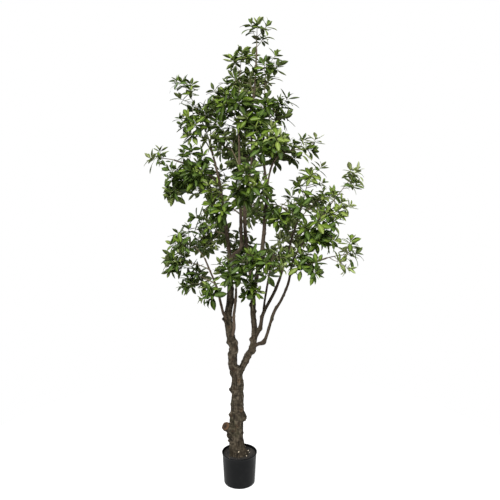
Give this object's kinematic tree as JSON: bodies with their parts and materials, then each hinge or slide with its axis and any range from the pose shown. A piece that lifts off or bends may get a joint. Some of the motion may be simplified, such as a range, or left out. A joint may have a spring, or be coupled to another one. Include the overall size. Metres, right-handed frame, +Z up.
{
  "type": "artificial pieris tree in pot",
  "caption": "Tall artificial pieris with a knotty forked trunk, airy sprays of narrow whorled leaves, and a plain round black pot filled level to hold it.",
  "frame": {"origin": "centre of the pot's flat underside", "axes": "+Z up along the trunk, -Y towards the front of the tree, +X to the right seen from the front"},
  "size_m": [1.1341, 0.7511, 2.3865],
  "materials": {
    "pot_plastic": "black moulded plastic with a soft sheen",
    "fill": "rough dark cast filling",
    "bark": "rough grey-brown bark with an olive cast",
    "foliage": "printed leaf fabric, dark and bright green, satin"
  },
  "bodies": {
    "root": {"pot": "pot_plastic", "pot_fill": "fill", "trunk": "bark", "left_leader": "bark", "right_limb": "bark", "middle_stem": "bark", "left_bough": "bark", "inner_bough": "bark", "front_stem": "bark", "low_left_bough": "bark", "left_arm": "bark", "crown_leader": "bark", "right_stem": "bark", "right_arm": "bark", "right_fork": "bark", "back_stem": "bark", "outer_bough": "bark", "low_right_bough": "bark", "leaves_crown_leader_1": "foliage", "leaves_inner_bough_1": "foliage", "leaves_inner_bough_2": "foliage", "leaves_crown_leader_2": "foliage", "leaves_right_stem_1": "foliage", "leaves_right_stem_2": "foliage", "leaves_right_stem_3": "foliage", "leaves_crown_leader_3": "foliage", "leaves_left_bough_1": "foliage", "leaves_left_bough_2": "foliage", "leaves_left_bough_3": "foliage", "leaves_inner_bough_3": "foliage", "leaves_right_arm_1": "foliage", "leaves_right_arm_2": "foliage", "leaves_left_arm_1": "foliage", "leaves_left_arm_2": "foliage", "leaves_left_arm_3": "foliage", "leaves_left_bough_4": "foliage", "leaves_inner_bough_4": "foliage", "leaves_inner_bough_5": "foliage", "leaves_crown_leader_4": "foliage", "leaves_right_fork_1": "foliage", "leaves_outer_bough_1": "foliage", "leaves_right_stem_4": "foliage", "leaves_right_fork_2": "foliage", "leaves_outer_bough_2": "foliage", "leaves_outer_bough_3": "foliage", "leaves_right_fork_3": "foliage", "leaves_low_left_bough_1": "foliage", "leaves_left_bough_5": "foliage", "leaves_low_left_bough_2": "foliage", "leaves_low_left_bough_3": "foliage", "leaves_low_left_bough_4": "foliage", "leaves_front_stem_1": "foliage", "leaves_right_stem_5": "foliage", "leaves_middle_stem_1": "foliage", "leaves_back_stem_1": "foliage", "leaves_low_right_bough_1": "foliage", "leaves_low_right_bough_2": "foliage", "leaves_left_leader_1": "foliage", "leaves_crown_leader_5": "foliage"}
  },
  "joints": []
}
